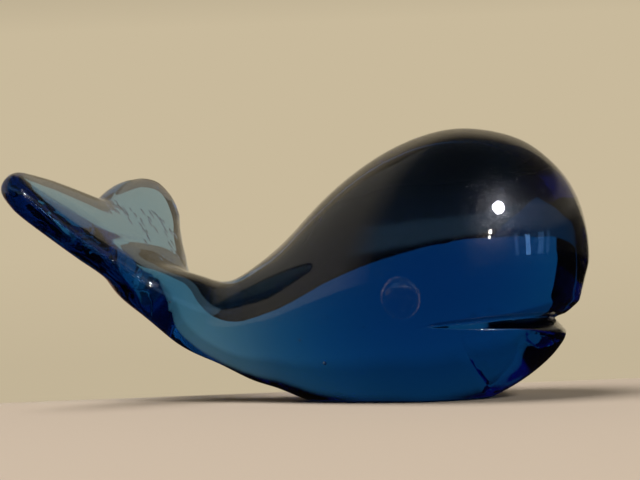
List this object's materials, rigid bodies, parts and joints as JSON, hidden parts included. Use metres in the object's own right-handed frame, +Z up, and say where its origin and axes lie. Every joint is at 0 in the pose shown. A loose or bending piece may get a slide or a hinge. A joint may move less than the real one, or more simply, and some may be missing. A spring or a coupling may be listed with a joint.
{
  "type": "glass whale figurine",
  "caption": "Solid clear blue glass whale figurine with a domed head, pressed mouth crease, raised round eyes, a thin neck to upswept tail flukes and a ground flat to stand on.",
  "frame": {"origin": "middle of the ground flat that the whale rests on, in the plane of the table", "axes": "+X towards the nose, +Y to the whale's left, +Z up; the tail flukes rise at -X"},
  "size_m": [0.1489, 0.0826, 0.0703],
  "materials": {
    "blue_glass": "fire-polished clear glass, tinted blue right through, with a ground and smoothed base flat"
  },
  "bodies": {
    "root": {"whale_body": "blue_glass", "left_eye": "blue_glass", "right_eye": "blue_glass"}
  },
  "joints": []
}
